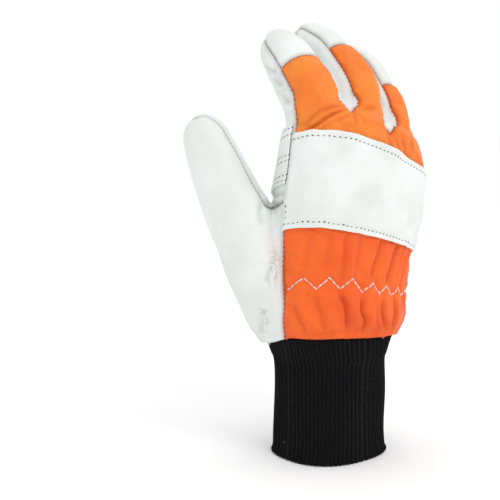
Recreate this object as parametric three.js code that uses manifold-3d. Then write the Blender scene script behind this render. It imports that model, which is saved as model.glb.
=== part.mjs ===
// A right-hand chainsaw glove, kept in the curved shape that it has on a hand.
// Millimetres, +Z up along the wrist. The origin is the centre of the cuff's open end.
// +X is the little finger's side, -X the thumb's side, -Y the back of the hand, +Y the palm.
// One hollow skin, the union of a hand, four fingers and a thumb less the same forms one wall
// smaller, is cut along the seams into the leather and fabric pieces that the glove is sewn from.
import * as THREE from 'three'
import { mergeVertices } from 'three/addons/utils/BufferGeometryUtils.js'
import Module from 'manifold-3d'

const wasm = await Module()
wasm.setup()

// Thicknesses and clearances
const skinThickness = 2.0 // padded fabric, or leather with its lining
const overlayThickness = 1.4 // leather of the strap and of the palm patch
const seamGap = 0.3 // between two pieces that are sewn edge to edge
const layerGap = 0.3 // between an overlay and the skin that it is sewn on

// The knitted cuff
const cuffLength = 66 // from its open end to the hem of the hand
const cuffWidth = 64
const cuffDepth = 57
const cuffWall = 2.4
const cuffTuck = 9 // how far the knit runs up inside the hem

// The hand between the hem and the knuckles
const handLength = 122
const palmWidth = 100
const palmDepth = 72

// Where the seams lie, in degrees round a section: 0 faces the little finger's side, 90 the
// palm, 180 the thumb's side and 270 the back
const backFrom = 183
const backTo = 353
const fingerBackHalf = 62 // half of the angle that a finger's back panel covers
const gussetToPalm = 34 // how far the strips between the fingers reach from the side to the palm
const gussetToBack = 72 // and towards the back, where the back's panels end them
const palmSeam = 150 // the seam between the thumb's leather and the palm
const thumbSeam = 180 // where round the thumb its back leather starts
const webAt = 0.55 // share of handLength at which the thumb leaves the hand
const gussetFrom = 0.2 // shares of a finger's length
const gussetTo = 0.93

// Sections of the hand. up is a share of handLength. across, thumbSide and littleSide are shares
// of palmWidth. through, back and palm are shares of palmDepth. lean tips a section towards the
// palm and slope lowers its little finger's side, both in degrees.
const handSections = [
  { up: 0.00, across: 0.00, through: -0.03, thumbSide: 0.41, littleSide: 0.40,
    back: 0.43, palm: 0.46, lean: 10, slope: 5 },
  { up: 0.10, across: 0.01, through: -0.04, thumbSide: 0.43, littleSide: 0.42,
    back: 0.44, palm: 0.46, lean: 11, slope: 6 },
  { up: 0.22, across: 0.02, through: -0.06, thumbSide: 0.44, littleSide: 0.42,
    back: 0.42, palm: 0.42, lean: 12, slope: 8 },
  { up: 0.43, across: 0.04, through: -0.08, thumbSide: 0.50, littleSide: 0.45,
    back: 0.40, palm: 0.40, lean: 16, slope: 15 },
  { up: 0.64, across: 0.07, through: -0.11, thumbSide: 0.51, littleSide: 0.47,
    back: 0.39, palm: 0.38, lean: 17, slope: 18 },
  { up: 0.85, across: 0.08, through: -0.11, thumbSide: 0.48, littleSide: 0.48,
    back: 0.42, palm: 0.30, lean: 18, slope: 20 },
  { up: 0.94, across: 0.08, through: -0.09, thumbSide: 0.45, littleSide: 0.45,
    back: 0.42, palm: 0.19, lean: 19, slope: 20 },
  { up: 1.00, across: 0.08, through: -0.06, thumbSide: 0.38, littleSide: 0.38,
    back: 0.30, palm: 0.09, lean: 20, slope: 20 }
]

// Fingers. across, through and up place the root as shares of palmWidth, palmDepth and handLength.
// length is a share of fingerLength, width and depth are shares of fingerWidth. In degrees, turn
// faces the curl towards the thumb's side, facing does so for the back panel alone, splay leans the
// finger to the little finger's side, and lean, middle and end are its bends to the palm. The tip's
// cap starts at tipAt, a share of the finger's own length.
const fingerLength = 100
const fingerWidth = 25
const fingers = [
  {
    name: 'index', across: -0.23, through: -0.27, up: 0.85,
    length: 0.85 * fingerLength, width: 1.12 * fingerWidth, depth: 1.24 * fingerWidth,
    turn: 0, facing: -24, splay: 0, lean: 20, middle: 20, end: 13, tipAt: 0.64
  },
  {
    name: 'middle', across: 0.04, through: -0.30, up: 0.83,
    length: 0.97 * fingerLength, width: 1.02 * fingerWidth, depth: 1.28 * fingerWidth,
    turn: 2, facing: 12, splay: 2, lean: 18, middle: 25, end: 20, tipAt: 0.66
  },
  {
    name: 'ring', across: 0.28, through: -0.23, up: 0.77,
    length: 0.84 * fingerLength, width: 0.96 * fingerWidth, depth: 1.24 * fingerWidth,
    turn: 6, facing: 34, splay: 4, lean: 13, middle: 22, end: 18, tipAt: 0.54
  },
  {
    name: 'little', across: 0.465, through: -0.12, up: 0.69,
    length: 0.70 * fingerLength, width: 0.92 * fingerWidth, depth: 1.12 * fingerWidth,
    turn: 10, facing: 26, splay: 10, lean: 20, middle: 18, end: 14, tipAt: 0.50
  }
]
const thumbLength = 148
const thumbWidth = 34
const thumbDepth = 32
const thumb = {
  name: 'thumb', across: -0.115, through: 0.15, up: -0.03,
  length: thumbLength, width: thumbWidth, depth: thumbDepth,
  turn: -62, splay: -18, lean: -25, middle: 5, end: 6
}

// Girth along a finger and along the thumb: at is a share of the length, girth a share of the
// width and depth. round is the last stretch, which closes in the shape of a quarter circle.
const fingerGirths = [
  { at: 0.00, girth: 0.25 },
  { at: 0.24, girth: 0.98 },
  { at: 0.50, girth: 0.98 },
  { at: 0.75, girth: 0.85 },
  { at: 1.00, girth: 0.60 }
]
const thumbGirths = [
  { at: 0.00, girth: 1.30 },
  { at: 0.28, girth: 1.22 },
  { at: 0.43, girth: 1.12 },
  { at: 0.63, girth: 1.00 },
  { at: 0.82, girth: 0.82 },
  { at: 1.00, girth: 0.62 }
]
const tipRound = 13 // length over which a tip closes

// Girth of the knit from its open end to the hem
const cuffSections = [
  { up: 0.00, girth: 1.03 },
  { up: 0.10, girth: 0.99 },
  { up: 0.50, girth: 0.98 },
  { up: 0.80, girth: 0.98 },
  { up: 0.89, girth: 1.03 }
]

const bendMiddleAt = 0.42
const bendEndAt = 0.72
const bendSpan = 0.20 // share of the length over which a joint bends

// The overlays: where they start and end as shares of handLength
const strapFrom = 0.43
const strapTo = 0.82
const patchLow = 0.62
const patchHigh = 0.87
const patchFrom = -4 // degrees round the section
const overlaySeam = 182 // where the patch ends and the strap starts
const overlayApart = 1 // degrees left between them

// How finely the forms are faceted
const handSides = 24
const handSteps = 8
const fingerSides = 12
const fingerSteps = 6
const tipSteps = 3
const squareness = 2.4 // a superellipse's power, 2 is an ellipse

const degrees = Math.PI / 180

function mix(rows, key, at, value) {
  let i = 1
  while (i < rows.length - 1 && rows[i][key] < at) i++
  const a = rows[i - 1]
  const b = rows[i]
  const t = THREE.MathUtils.clamp((at - a[key]) / (b[key] - a[key]), -0.5, 1.5)
  return a[value] + (b[value] - a[value]) * t
}

// A closed solid from rings of points, each ring seen anticlockwise from the end that follows it
function loft(rings) {
  const sides = rings[0].length
  const positions = rings.flat().flatMap((p) => [p.x, p.y, p.z])
  const index = []
  for (let r = 0; r + 1 < rings.length; r++) {
    for (let i = 0; i < sides; i++) {
      const j = (i + 1) % sides
      const [a, b] = [r * sides + i, r * sides + j]
      index.push(a, b, a + sides, b, b + sides, a + sides)
    }
  }
  for (const [ring, flip] of [[rings[0], true], [rings.at(-1), false]]) {
    const first = (flip ? 0 : rings.length - 1) * sides
    const centre = positions.length / 3
    const middle = ring.reduce((sum, p) => sum.add(p), new THREE.Vector3()).divideScalar(sides)
    positions.push(middle.x, middle.y, middle.z)
    for (let i = 0; i < sides; i++) {
      const j = (i + 1) % sides
      if (flip) index.push(first + j, first + i, centre)
      else index.push(first + i, first + j, centre)
    }
  }
  return solid(positions, index)
}

function solid(positions, index) {
  const geometry = new THREE.BufferGeometry()
  geometry.setAttribute('position', new THREE.Float32BufferAttribute(positions, 3))
  geometry.setIndex(index)
  const merged = mergeVertices(geometry, 1e-4)
  const mesh = new wasm.Mesh({
    numProp: 3,
    vertProperties: merged.attributes.position.array,
    triVerts: new Uint32Array(merged.index.array)
  })
  return new wasm.Manifold(mesh)
}

function power(value) {
  return Math.sign(value) * Math.abs(value) ** (2 / squareness)
}

// A frame is one section's place: origin, right (little finger's side), palm, axis (up) and the
// four half sizes. ringOf gives its outline, or a slice of it between two angles.
function pointOf(frame, angle, grow, share = 1) {
  const c = power(Math.cos(angle * degrees))
  const s = power(Math.sin(angle * degrees))
  const x = c * ((c > 0 ? frame.littleSide : frame.thumbSide) + grow) * share
  const y = s * ((s > 0 ? frame.palmSide : frame.backSide) + grow) * share
  return frame.origin.clone().addScaledVector(frame.right, x).addScaledVector(frame.palm, y)
}

function ringOf(frame, sides, grow) {
  return Array.from({ length: sides }, (_, i) => pointOf(frame, (i + 0.5) * 360 / sides, grow))
}

// A slice of a section between two angles, from well inside the wall to just outside it
const belowHem = -0.2 // share of handLength from which slices and the hollow start
const sliceInside = 0.5 // share of the section
const handReach = 9 // how far a slice of the hand stands out of its section, over the knuckles
const fingerReach = 3
const sliceSides = 6
function sliceOf(frame, from, to, widen, reach) {
  const extra = widen / Math.min(frame.littleSide, frame.palmSide) / degrees
  const [start, end] = [from - extra, to + extra]
  const angles = Array.from({ length: sliceSides + 1 }, (_, i) => start + (end - start) * i / sliceSides)
  const outside = angles.map((angle) => pointOf(frame, angle, reach + widen))
  const inside = angles.map((angle) => pointOf(frame, angle, -widen / sliceInside, sliceInside)).reverse()
  return [...outside, ...inside]
}

// Frames of the hand
function handFrame(up) {
  const at = (key) => mix(handSections, 'up', up, key)
  const lean = at('lean') * degrees
  const slope = at('slope') * degrees
  const right = new THREE.Vector3(Math.cos(slope), 0, -Math.sin(slope))
  const palm = new THREE.Vector3(0, Math.cos(lean), -Math.sin(lean))
  return {
    origin: new THREE.Vector3(
      at('across') * palmWidth, at('through') * palmDepth, cuffLength + up * handLength
    ),
    right,
    palm,
    axis: right.clone().cross(palm).normalize(),
    thumbSide: at('thumbSide') * palmWidth,
    littleSide: at('littleSide') * palmWidth,
    backSide: at('back') * palmDepth,
    palmSide: at('palm') * palmDepth
  }
}

function handFrames(from, to, steps = handSteps) {
  return Array.from({ length: steps + 1 }, (_, i) => handFrame(from + (to - from) * i / steps))
}

// Frames of a finger or of the thumb, found by walking along its bent centre line
function bendAt(finger, at) {
  const ramp = (centre) => THREE.MathUtils.smoothstep(at, centre - bendSpan / 2, centre + bendSpan / 2)
  return finger.lean + finger.middle * ramp(bendMiddleAt) + finger.end * ramp(bendEndAt)
}

function fingerFrame(finger, girths, at) {
  const turn = finger.turn * degrees
  const splay = finger.splay * degrees
  const up = new THREE.Vector3(0, 0, 1)
  const palmward = new THREE.Vector3(-Math.sin(turn), Math.cos(turn), 0)
  const sideways = new THREE.Vector3(Math.cos(turn), Math.sin(turn), 0)
  const along = sideways.clone().multiplyScalar(Math.sin(splay)).addScaledVector(up, Math.cos(splay))
  const right = sideways.clone().multiplyScalar(Math.cos(splay)).addScaledVector(up, -Math.sin(splay))
  const origin = new THREE.Vector3(
    finger.across * palmWidth, finger.through * palmDepth, cuffLength + finger.up * handLength)
  const walk = 40
  for (let i = 0; i < walk; i++) {
    const bend = bendAt(finger, at * (i + 0.5) / walk) * degrees
    const step = finger.length * at / walk
    origin.addScaledVector(along, Math.cos(bend) * step).addScaledVector(palmward, Math.sin(bend) * step)
  }
  const bend = bendAt(finger, at) * degrees
  const axis = along.clone().multiplyScalar(Math.cos(bend)).addScaledVector(palmward, Math.sin(bend))
  const palm = axis.clone().cross(right)
  const girth = mix(girths, 'at', Math.min(at, 1), 'girth')
  return {
    origin, right, palm, axis,
    thumbSide: finger.width / 2 * girth,
    littleSide: finger.width / 2 * girth,
    backSide: finger.depth / 2 * girth,
    palmSide: finger.depth / 2 * girth
  }
}

// A finger's rings, closed at the tip like a quarter of a circle
function fingerForm(finger, girths, grow) {
  const end = 1 + grow / finger.length
  const roundFrom = 1 - tipRound / finger.length
  const rings = []
  for (let i = 0; i <= fingerSteps; i++) {
    rings.push(ringOf(fingerFrame(finger, girths, roundFrom * i / fingerSteps), fingerSides, grow))
  }
  for (let i = 1; i <= tipSteps; i++) {
    const quarter = 90 * i / (tipSteps + 0.35) * degrees
    const frame = fingerFrame(finger, girths, roundFrom + (end - roundFrom) * Math.sin(quarter))
    const shrink = Math.cos(quarter)
    for (const side of ['thumbSide', 'littleSide', 'backSide', 'palmSide']) {
      frame[side] = (frame[side] + grow) * shrink - grow
    }
    rings.push(ringOf(frame, fingerSides, grow))
  }
  return loft(rings)
}

function handForm(grow, from = 0) {
  return loft(handFrames(from, 1 + grow / handLength).map((frame) => ringOf(frame, handSides, grow)))
}

// The whole form: hand, fingers and thumb, grown outwards or, for the hollow, inwards
function gloveForm(grow, from = 0) {
  const parts = fingers.map((finger) => fingerForm(finger, fingerGirths, grow))
  parts.push(fingerForm(thumb, thumbGirths, grow), handForm(grow, from))
  return join(parts)
}

// What lies past the hem's plane: the thumb starts there and is cut off flush with the hem
function belowHemForm() {
  const frames = [belowHem, 0].map((up) => ({ ...handFrame(0), origin: handFrame(up).origin }))
  return loft(frames.map((frame) => ringOf(frame, 4, palmWidth)))
}

// Stations of a slice: only the first and the last move when it is widened
function stationsOf(from, to, steps, rise) {
  const inner = Array.from({ length: steps - 1 }, (_, i) => from + (to - from) * (i + 1) / steps)
  return [from - rise, ...inner, to + rise]
}

function handSlice(from, to, fromUp, toUp, widen) {
  const stations = stationsOf(fromUp, toUp, handSteps, widen / handLength)
  return loft(stations.map((up) => sliceOf(handFrame(up), from, to, widen, handReach)))
}

function fingerSlice(finger, girths, from, to, fromAt, toAt, widen) {
  const steps = Math.max(3, Math.round((toAt - fromAt) * fingerSteps))
  const stations = stationsOf(fromAt, toAt, steps, widen / finger.length)
  return loft(stations.map((at) => sliceOf(fingerFrame(finger, girths, at), from, to, widen, fingerReach)))
}

function join(parts) {
  return parts.reduce((sum, part) => sum.add(part))
}

function cut(made, cutters) {
  return cutters.reduce((left, cutter) => left.subtract(cutter), made)
}

// Seams, each as the region of one piece, widened or narrowed by half of the seam's gap
const back = 270
const pastTip = 1.15
function backRegion(widen) {
  const panels = fingers.map((finger) => fingerBackRegion(finger, 0, finger.tipAt, widen))
  return join([handSlice(backFrom, backTo, belowHem, 1, widen), ...panels])
}

function fingerBackRegion(finger, from, to, widen) {
  const middle = back + finger.facing
  const sides = [middle - fingerBackHalf, middle + fingerBackHalf]
  return fingerSlice(finger, fingerGirths, ...sides, from, to, widen)
}

function tipRegion(finger, widen) {
  return fingerBackRegion(finger, finger.tipAt, pastTip, widen)
}

function gussetRegion(first, second, widen) {
  return join([
    fingerSlice(first, fingerGirths, -gussetToBack, gussetToPalm, gussetFrom, gussetTo, widen),
    fingerSlice(second, fingerGirths, 180 - gussetToPalm, 180 + gussetToBack, gussetFrom, gussetTo, widen)
  ])
}

function thumbRegion(widen) {
  return join([
    fingerSlice(thumb, thumbGirths, thumbSeam, thumbSeam + 180, 0.1, pastTip, widen),
    handSlice(palmSeam, backFrom, belowHem, webAt, widen)
  ])
}

// The skin and its pieces
const half = seamGap / 2
const skin = cut(gloveForm(0), [gloveForm(-skinThickness, belowHem), belowHemForm()])
const backFabric = skin.intersect(backRegion(-half))
const backCut = backRegion(half)
const tips = fingers.map((finger) => cut(skin.intersect(tipRegion(finger, -half)), [backCut]))
const tipCuts = fingers.map((finger) => tipRegion(finger, half))
const gussets = []
const gussetCuts = []
for (let i = 0; i + 1 < fingers.length; i++) {
  const pair = [fingers[i], fingers[i + 1]]
  gussets.push(cut(skin.intersect(gussetRegion(...pair, -half)), [backCut, ...tipCuts]))
  gussetCuts.push(gussetRegion(...pair, half))
}
const thumbLeather = cut(skin.intersect(thumbRegion(-half)), [backCut])
const palmLeather = cut(skin, [backCut, ...tipCuts, ...gussetCuts, thumbRegion(half)])

// The overlays lie on the skin
const over = gloveForm(layerGap + overlayThickness).subtract(gloveForm(layerGap))
const strap = over.intersect(handSlice(overlaySeam, backTo, strapFrom, strapTo, 0))
const patch = over.intersect(handSlice(patchFrom, overlaySeam - overlayApart, patchLow, patchHigh, 0))

// The cuff: a tube that flares into the hem and is tucked up inside it
function cuffRings(inset, past) {
  const frameAt = (row, i) => ({
    origin: new THREE.Vector3(0, 0, row.up * cuffLength - (i === 0 ? past : 0)),
    right: new THREE.Vector3(1, 0, 0),
    palm: new THREE.Vector3(0, 1, 0),
    thumbSide: row.girth * cuffWidth / 2,
    littleSide: row.girth * cuffWidth / 2,
    backSide: row.girth * cuffDepth / 2,
    palmSide: row.girth * cuffDepth / 2
  })
  const tube = cuffSections.map((row, i) => ringOf(frameAt(row, i), handSides, -inset))
  const tuck = [0, cuffTuck / 2, cuffTuck + past].map((up) => ringOf(
    handFrame(up / handLength), handSides, -skinThickness - layerGap - inset))
  return [...tube, ...tuck]
}
const cuff = loft(cuffRings(0, 0)).subtract(loft(cuffRings(cuffWall, 1)))

// A piece is one body: shavings that a cut leaves beside it are dropped
function wholeOf(made) {
  return made.decompose().sort((a, b) => b.volume() - a.volume())[0]
}

const leather = { color: 0xefeee8, roughness: 0.62, metalness: 0 }
const fabric = { color: 0xf4662a, roughness: 0.7, metalness: 0 }
const knit = { color: 0x101012, roughness: 0.95, metalness: 0 }
const pieces = [
  { name: 'cuff', solid: cuff, finish: knit },
  { name: 'back_fabric', solid: backFabric, finish: fabric },
  { name: 'palm_leather', solid: palmLeather, finish: leather },
  { name: 'thumb_leather', solid: thumbLeather, finish: leather },
  ...tips.map((tip, i) => ({ name: 'tip_' + fingers[i].name, solid: tip, finish: leather })),
  ...gussets.map((gusset, i) => ({
    name: `gusset_${fingers[i].name}_${fingers[i + 1].name}`, solid: gusset, finish: leather
  })),
  { name: 'knuckle_strap', solid: strap, finish: leather },
  { name: 'palm_patch', solid: patch, finish: leather }
]

const glove = new THREE.Group()
for (const piece of pieces) {
  const { vertProperties, triVerts } = wholeOf(piece.solid).getMesh()
  const geometry = new THREE.BufferGeometry()
  geometry.setAttribute('position', new THREE.BufferAttribute(vertProperties, 3))
  geometry.setIndex(new THREE.BufferAttribute(triVerts, 1))
  const mesh = new THREE.Mesh(geometry, new THREE.MeshStandardMaterial(piece.finish))
  mesh.name = piece.name
  glove.add(mesh)
}

export default glove
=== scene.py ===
import math

import bpy
import numpy as np
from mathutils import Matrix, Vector
from mathutils.bvhtree import BVHTree
from mathutils.kdtree import KDTree


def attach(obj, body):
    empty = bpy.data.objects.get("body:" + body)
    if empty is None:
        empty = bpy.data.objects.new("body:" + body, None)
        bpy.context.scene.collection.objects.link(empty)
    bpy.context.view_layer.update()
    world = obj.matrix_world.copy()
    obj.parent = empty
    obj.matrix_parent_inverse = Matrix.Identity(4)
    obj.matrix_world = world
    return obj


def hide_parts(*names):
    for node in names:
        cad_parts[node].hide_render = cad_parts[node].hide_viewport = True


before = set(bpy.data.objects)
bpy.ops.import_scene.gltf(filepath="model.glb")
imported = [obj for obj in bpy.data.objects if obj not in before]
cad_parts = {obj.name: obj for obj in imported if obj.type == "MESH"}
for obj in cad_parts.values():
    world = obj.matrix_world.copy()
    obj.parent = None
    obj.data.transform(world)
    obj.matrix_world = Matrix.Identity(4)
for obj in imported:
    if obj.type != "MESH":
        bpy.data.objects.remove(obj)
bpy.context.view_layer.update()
bpy.ops.object.select_all(action="DESELECT")
mm = 0.001

# The form of the hand, in millimetres, as in the part: +X little finger's side, -Y back, +Z up
handForm = {
    "cuffLength": 66, "handLength": 122, "palmWidth": 100, "palmDepth": 72, "squareness": 2.4,
    "columns": ["up", "across", "through", "thumbSide", "littleSide", "back", "palm", "lean", "slope"],
    "sections": [
        [0.00, 0.00, -0.03, 0.41, 0.40, 0.43, 0.46, 10, 5],
        [0.10, 0.01, -0.04, 0.43, 0.42, 0.44, 0.46, 11, 6],
        [0.22, 0.02, -0.06, 0.44, 0.42, 0.42, 0.42, 12, 8],
        [0.43, 0.04, -0.08, 0.50, 0.45, 0.40, 0.40, 16, 15],
        [0.64, 0.07, -0.11, 0.51, 0.47, 0.39, 0.38, 17, 18],
        [0.85, 0.08, -0.11, 0.48, 0.48, 0.42, 0.30, 18, 20],
        [0.94, 0.08, -0.09, 0.45, 0.45, 0.42, 0.19, 19, 20],
        [1.00, 0.08, -0.06, 0.38, 0.38, 0.30, 0.09, 20, 20]],
}
fingerForms = {
    "columns": ["across", "through", "up", "length", "width", "depth", "turn", "facing", "splay",
                "lean", "middle", "end", "tipAt"],
    "index": [-0.23, -0.27, 0.85, 85, 28, 31, 0, -24, 0, 20, 20, 13, 0.64],
    "middle": [0.04, -0.30, 0.83, 97, 25.5, 32, 2, 12, 2, 18, 25, 20, 0.66],
    "ring": [0.28, -0.23, 0.77, 84, 24, 31, 6, 34, 4, 13, 22, 18, 0.54],
    "little": [0.465, -0.12, 0.69, 70, 23, 28, 10, 26, 10, 20, 18, 14, 0.50],
    "thumb": [-0.115, 0.15, -0.03, 148, 34, 32, -62, 0, -18, -25, 5, 6, 1.0],
    "girths": [[0.0, 0.25], [0.24, 0.98], [0.50, 0.98], [0.75, 0.85], [1.0, 0.60]],
    "thumbGirths": [[0.0, 1.30], [0.28, 1.22], [0.43, 1.12], [0.63, 1.00], [0.82, 0.82], [1.0, 0.62]],
    "middleAt": 0.42, "endAt": 0.72, "bendSpan": 0.20, "tipRound": 13,
}
seamPlan = {  # degrees round a section: 0 little finger's side, 90 palm, 180 thumb's side, 270 back
    "back": [183, 353], "fingerBack": 62, "gussetPalm": 34, "gussetBack": 72,
    "gusset": [0.2, 0.93], "lastGussetFrom": 0.29, "palm": 150, "thumb": 180, "web": 0.55,
    "onFinger": 3.5, "onHand": 9, "knuckles": 1.01, "tipEnd": 0.985,
}
fingerNames = ["index", "middle", "ring", "little"]


def unit(vectors):  # rows scaled to the length of one
    return vectors / (np.linalg.norm(vectors, axis=1)[:, None] + 1e-12)


def dots(first, second):  # the dot product of each pair of rows
    return np.einsum("ij,ij->i", first, second)


def fall(distance, width):  # one at no distance, and smoothly down to nothing beyond the width
    return np.exp(-(distance / width) ** 2)


def lengthsAlong(spots):  # the length of a line up to each of its points
    return np.concatenate([[0], np.cumsum(np.linalg.norm(np.diff(spots, axis=0), axis=1))])


def repeated(frames, count):
    return {key: np.repeat(value, count, axis=0) for key, value in frames.items()}


def mixRows(table, at):
    keys = table[:, 0]
    i = np.clip(np.searchsorted(keys, at) - 1, 0, len(keys) - 2)
    t = np.clip((at - keys[i]) / (keys[i + 1] - keys[i]), -0.5, 1.5)[:, None]
    return table[i] * (1 - t) + table[i + 1] * t


def handFrames(up):
    up = np.atleast_1d(np.asarray(up, float))
    row = mixRows(np.array(handForm["sections"], float), up).T
    at = dict(zip(handForm["columns"], row))
    width, depth = handForm["palmWidth"], handForm["palmDepth"]
    lean, slope = np.radians(at["lean"]), np.radians(at["slope"])
    zero = np.zeros_like(up)
    right = np.stack([np.cos(slope), zero, -np.sin(slope)], 1)
    palm = np.stack([zero, np.cos(lean), -np.sin(lean)], 1)
    axis = unit(np.cross(right, palm))

    height = handForm["cuffLength"] + up * handForm["handLength"]
    return {
        "origin": np.stack([at["across"] * width, at["through"] * depth, height], 1),
        "right": right, "palm": palm, "axis": axis,
        "sides": np.stack([at["thumbSide"] * width, at["littleSide"] * width,
                           at["back"] * depth, at["palm"] * depth], 1)}


def fingerRow(name):
    return dict(zip(fingerForms["columns"], fingerForms[name]))


def fingerFrames(name, stations):
    finger = fingerRow(name)
    turn, splay = math.radians(finger["turn"]), math.radians(finger["splay"])
    palmward = np.array([-math.sin(turn), math.cos(turn), 0])
    sideways = np.array([math.cos(turn), math.sin(turn), 0])
    upward = np.array([0, 0, 1.0])
    along = sideways * math.sin(splay) + upward * math.cos(splay)
    right = sideways * math.cos(splay) - upward * math.sin(splay)

    def bend(at):
        def ramp(centre):
            t = np.clip((at - centre) / fingerForms["bendSpan"] + 0.5, 0, 1)
            return t * t * (3 - 2 * t)
        return np.radians(finger["lean"] + finger["middle"] * ramp(fingerForms["middleAt"])
                          + finger["end"] * ramp(fingerForms["endAt"]))

    fine = np.linspace(-0.1, 1.1, 481)
    b = bend(fine)
    direction = np.cos(b)[:, None] * along + np.sin(b)[:, None] * palmward
    steps = (direction[1:] + direction[:-1]) / 2 * finger["length"] * (fine[1] - fine[0])
    path = np.concatenate([np.zeros((1, 3)), np.cumsum(steps, 0)])
    root = np.array([finger["across"] * handForm["palmWidth"], finger["through"] * handForm["palmDepth"],
                     handForm["cuffLength"] + finger["up"] * handForm["handLength"]])
    path += root - path[40]  # where the path passes station 0

    stations = np.atleast_1d(np.asarray(stations, float))
    origin = np.stack([np.interp(stations, fine, path[:, i]) for i in range(3)], 1)
    b = bend(stations)
    axis = np.cos(b)[:, None] * along + np.sin(b)[:, None] * palmward
    girths = np.array(fingerForms["thumbGirths" if name == "thumb" else "girths"], float)
    girth = np.interp(stations, girths[:, 0], girths[:, 1])
    roundFrom = 1 - fingerForms["tipRound"] / finger["length"]
    t = np.clip((stations - roundFrom) / (1 - roundFrom), 0, 0.999)
    girth = girth * np.sqrt(1 - t * t)
    half = np.stack([finger["width"] / 2 * girth, finger["width"] / 2 * girth,
                     finger["depth"] / 2 * girth, finger["depth"] / 2 * girth], 1)
    rights = np.tile(right, (len(stations), 1))
    return {"origin": origin, "right": rights, "palm": np.cross(axis, rights), "axis": axis, "sides": half}


def pick(frames, i):
    return {key: value[i] for key, value in frames.items()}


def pointsOn(frames, angles, grow=0.0, share=1.0):
    a = np.radians(angles)
    power = 2 / handForm["squareness"]
    c = np.sign(np.cos(a)) * np.abs(np.cos(a)) ** power
    s = np.sign(np.sin(a)) * np.abs(np.sin(a)) ** power
    sides = frames["sides"]
    x = c * (np.where(c > 0, sides[:, 1], sides[:, 0]) + grow) * share
    y = s * (np.where(s > 0, sides[:, 3], sides[:, 2]) + grow) * share
    return frames["origin"] + frames["right"] * x[:, None] + frames["palm"] * y[:, None]


def sectionPlace(frames, points):  # angle round the section, and the distance outside it
    offset = points - frames["origin"]
    x, y = dots(offset, frames["right"]), dots(offset, frames["palm"])

    sides = frames["sides"]
    c = x / np.where(x > 0, sides[:, 1], sides[:, 0])
    s = y / np.where(y > 0, sides[:, 3], sides[:, 2])
    n = handForm["squareness"]
    around = np.sign(s) * np.abs(s) ** (n / 2), np.sign(c) * np.abs(c) ** (n / 2)
    angle = np.degrees(np.arctan2(*around)) % 360

    rho = (np.abs(c) ** n + np.abs(s) ** n) ** (1 / n)
    return angle, (rho - 1) / np.maximum(rho, 1e-6) * np.hypot(x, y)


def handPlace(points):  # where points lie on the hand's form: station up, angle, distance outside
    up = np.full(len(points), 0.5)
    for _ in range(12):
        frames = handFrames(up)
        ahead = dots(points - frames["origin"], frames["axis"])

        up = np.clip(up + ahead / handForm["handLength"] / 0.9, -0.4, 1.6)
    angle, outside = sectionPlace(handFrames(up), points)
    return up, angle, outside


def fingerPlace(name, points):
    stations = np.linspace(0, 1.02, 103)
    frames = fingerFrames(name, stations)
    nearest = np.zeros(len(points), int)
    chunk = 20000
    for start in range(0, len(points), chunk):
        some = points[start:start + chunk]
        distance = ((some[:, None] - frames["origin"][None]) ** 2).sum(2)
        nearest[start:start + chunk] = distance.argmin(1)
    near = pick(frames, nearest)
    at = stations[nearest] + dots(points - near["origin"], near["axis"]) / fingerRow(name)["length"]
    frames = fingerFrames(name, np.clip(at, 0, seamPlan["tipEnd"]))
    angle, outside = sectionPlace(frames, points)
    return at, angle, outside, frames


def wedge(frames, points, first, last):  # signed distance into the wedge between two angles
    inside = np.full(len(points), 1e3)
    for angle, sign in ((first, 1), (last, -1)):
        toSeam = pointsOn(frames, np.full(len(points), float(angle))) - frames["origin"]
        normal = unit(np.cross(frames["axis"], toSeam))
        inside = np.minimum(inside, sign * dots(points - frames["origin"], normal))
    return inside


panelNames = ["palm_leather", "below", "back_fabric", "tip_index", "tip_middle", "tip_ring", "tip_little",
              "gusset_index_middle", "gusset_middle_ring", "gusset_ring_little", "thumb_leather"]


def least(*fields):
    return np.minimum.reduce(fields)


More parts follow.
